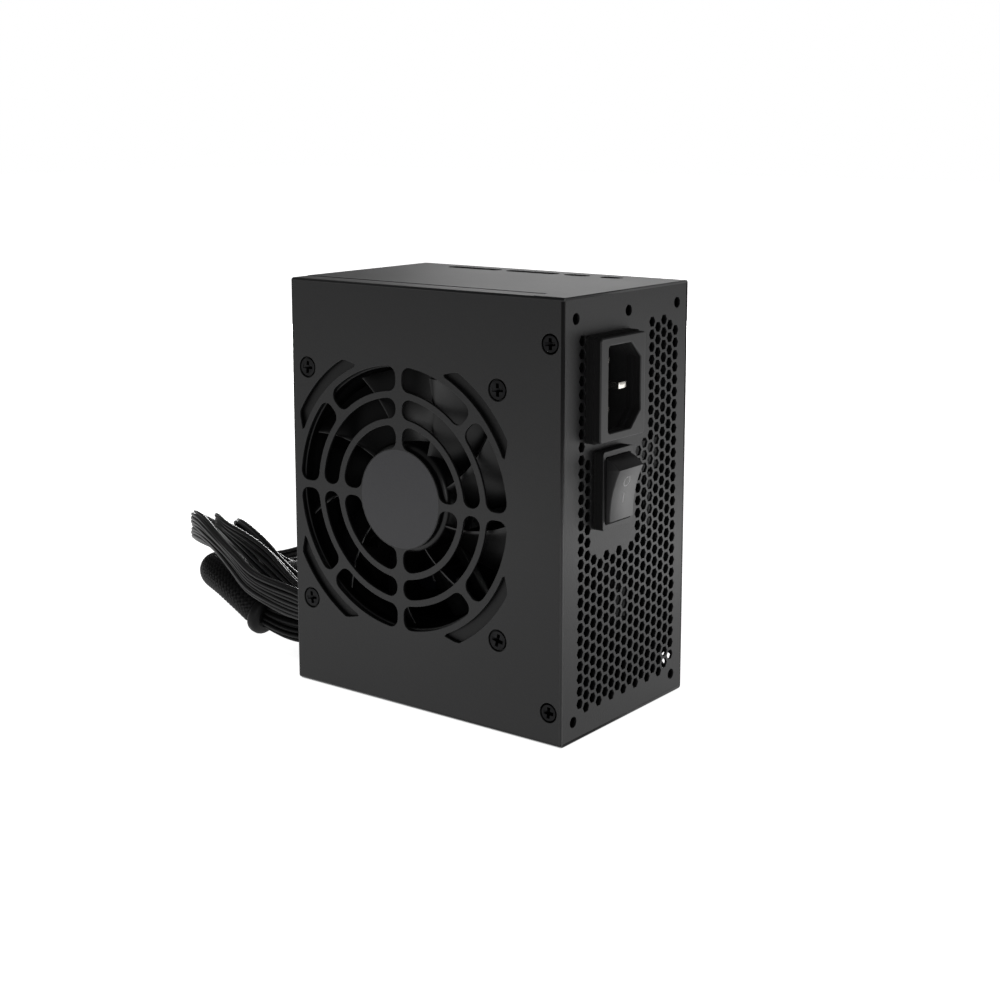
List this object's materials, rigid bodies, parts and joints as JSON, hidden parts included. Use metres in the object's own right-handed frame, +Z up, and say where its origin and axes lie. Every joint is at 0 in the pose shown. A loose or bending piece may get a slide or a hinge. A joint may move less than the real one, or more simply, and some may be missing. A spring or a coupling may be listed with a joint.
{
  "type": "power supply unit",
  "caption": "Small-format computer power supply: black steel case, fan behind a round punched grille, mains inlet, rocker switch, honeycomb vents and captive output cables.",
  "frame": {"origin": "middle of the narrow face that the unit stands on", "axes": "+Z up, +X towards the mains side, -Y towards the fan side"},
  "size_m": [0.2063, 0.1712, 0.125],
  "materials": {
    "case_paint": "matt black powder coat on steel",
    "fan_plastic": "black moulded plastic",
    "black_screw": "black plated steel",
    "fan_steel": "bright steel",
    "magnet": "bonded magnet",
    "brass": "turned",
    "inlet_plastic": "black moulded plastic, fine grain",
    "nickel": "nickel plated brass",
    "rocker_plastic": "black moulded plastic, satin",
    "grommet_nylon": "black nylon",
    "board": "green solder mask",
    "insulator": "black film",
    "zinc_screw": "zinc plated",
    "can_sleeve": "dark shrink sleeve",
    "copper_winding": "enamelled copper wire",
    "film_box": "moulded box",
    "ceramic": "glazed tube",
    "epoxy": "moulded package",
    "heatsink": "extruded",
    "ferrite": "sintered core",
    "tape": "yellow tape",
    "sleeve": "black braided sleeve",
    "wire": "black insulation",
    "connector_nylon": "black nylon"
  },
  "bodies": {
    "case": {"fan_cover": "case_paint", "base_case": "case_paint", "mains_panel": "case_paint", "fan_frame": "fan_plastic", "cover_screw_1": "black_screw", "cover_screw_2": "black_screw", "fan_screw_1": "black_screw", "fan_screw_2": "black_screw", "fan_screw_3": "black_screw", "fan_screw_4": "black_screw", "fan_stator": "fan_steel", "fan_bearing": "brass", "pcb_standoff_1": "brass", "pcb_standoff_2": "brass", "pcb_standoff_3": "brass", "pcb_standoff_4": "brass", "inlet_housing": "inlet_plastic", "rocker_housing": "inlet_plastic", "line_pin": "nickel", "neutral_pin": "nickel", "earth_pin": "nickel", "cable_grommet": "grommet_nylon", "main_pcb": "board", "insulating_sheet": "insulator", "pcb_screw_1": "zinc_screw", "pcb_screw_2": "zinc_screw", "pcb_screw_3": "zinc_screw", "pcb_screw_4": "zinc_screw", "bulk_capacitor": "can_sleeve", "output_capacitor_1": "can_sleeve", "output_capacitor_2": "can_sleeve", "output_capacitor_3": "can_sleeve", "output_capacitor_4": "can_sleeve", "common_mode_choke": "copper_winding", "pfc_inductor": "copper_winding", "output_inductor": "copper_winding", "x_capacitor": "film_box", "fuse": "ceramic", "bridge_rectifier": "epoxy", "primary_heatsink": "heatsink", "secondary_heatsink": "heatsink", "transformer_core": "ferrite", "standby_transformer_core": "ferrite", "transformer_winding": "tape", "standby_transformer_winding": "tape", "atx_cable": "sleeve", "cpu_cable": "wire", "pcie_cable": "wire", "drive_cable": "wire", "atx_connector": "connector_nylon", "cpu_connector": "connector_nylon", "pcie_connector": "connector_nylon", "drive_connector": "connector_nylon"},
    "fan": {"fan_rotor": "fan_plastic", "fan_magnet": "magnet", "fan_shaft": "fan_steel"},
    "switch_rocker": {"rocker": "rocker_plastic"}
  },
  "joints": [
    {"name": "fan_spin", "type": "hinge", "parent": "case", "child": "fan", "pos_m": [-0.00785, -0.024, 0.0625], "axis": [0, 1, 0], "continuous": true},
    {"name": "rocker_tip", "type": "hinge", "parent": "case", "child": "switch_rocker", "pos_m": [0.05028, -0.0093, 0.07025], "axis": [0, -1, 0], "range_deg": [0, 24]}
  ]
}
